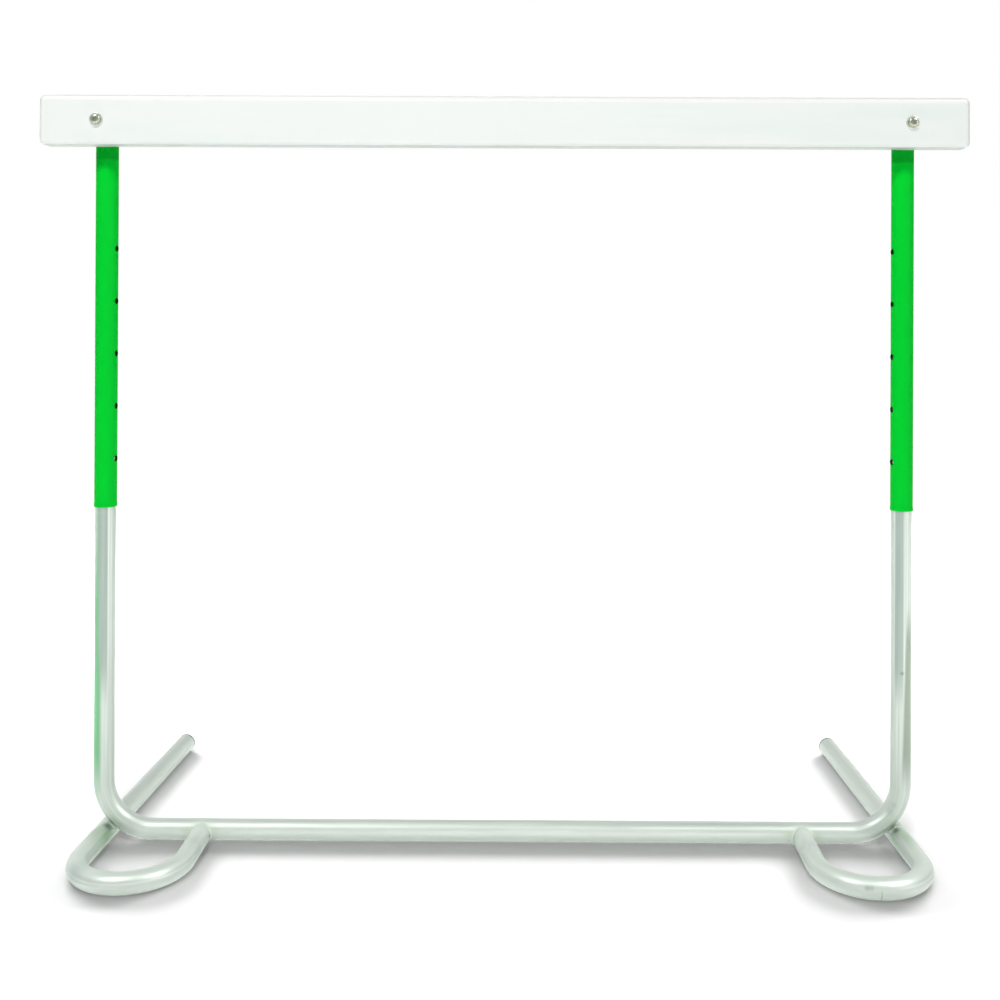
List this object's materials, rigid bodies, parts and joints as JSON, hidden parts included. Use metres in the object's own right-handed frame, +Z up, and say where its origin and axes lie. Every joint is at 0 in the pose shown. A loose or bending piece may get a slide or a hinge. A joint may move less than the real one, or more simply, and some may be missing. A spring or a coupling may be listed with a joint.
{
  "type": "track hurdle",
  "caption": "Low training hurdle: white bar on two green sleeves that slide over the uprights of a bent steel tube frame with hairpin feet and snap-button height setting.",
  "frame": {"origin": "centre of the overall box, on the floor", "axes": "+X along the bar to the right seen from the front, +Z up, the hairpin bends and the bar face -Y"},
  "size_m": [0.868, 0.3501, 0.7076],
  "materials": {
    "frame_steel": "satin silver-grey coat on steel tube, pale green cast, faint streaks along the tube",
    "green_sleeve": "bright green semi-gloss coat",
    "bar_board": "white satin, rounded edges",
    "black_plastic": "black moulded",
    "fastener_nickel": "yellowish plated steel",
    "spring_steel": "bare spring steel"
  },
  "bodies": {
    "base": {"base_frame_tube": "frame_steel", "left_foot_tube": "frame_steel", "left_foot_plug": "black_plastic", "left_button_spring": "spring_steel", "right_foot_tube": "frame_steel", "right_foot_plug": "black_plastic", "right_button_spring": "spring_steel"},
    "left_button": {"left_snap_button": "spring_steel"},
    "right_button": {"right_snap_button": "spring_steel"},
    "bar_carriage": {"hurdle_bar": "bar_board", "left_sleeve": "green_sleeve", "left_sleeve_cap": "black_plastic", "left_bar_screw": "fastener_nickel", "left_front_washer": "fastener_nickel", "left_rear_washer": "fastener_nickel", "left_bar_nut": "fastener_nickel", "right_sleeve": "green_sleeve", "right_sleeve_cap": "black_plastic", "right_bar_screw": "fastener_nickel", "right_front_washer": "fastener_nickel", "right_rear_washer": "fastener_nickel", "right_bar_nut": "fastener_nickel"}
  },
  "joints": [
    {"name": "height_slide", "type": "slide", "parent": "base", "child": "bar_carriage", "axis": [0, 0, 1], "range_m": [-0.2, 0]},
    {"name": "left_button_snap", "type": "slide", "parent": "base", "child": "left_button", "axis": [0.9659, -0.2588, 0], "range_m": [0, 0.0032], "stiffness_N_per_m": 1500, "springref_m": 0.0037, "deforming": ["left_button_spring"]},
    {"name": "right_button_snap", "type": "slide", "parent": "base", "child": "right_button", "axis": [-0.9659, -0.2588, 0], "range_m": [0, 0.0032], "stiffness_N_per_m": 1500, "springref_m": 0.0037, "deforming": ["right_button_spring"]}
  ]
}
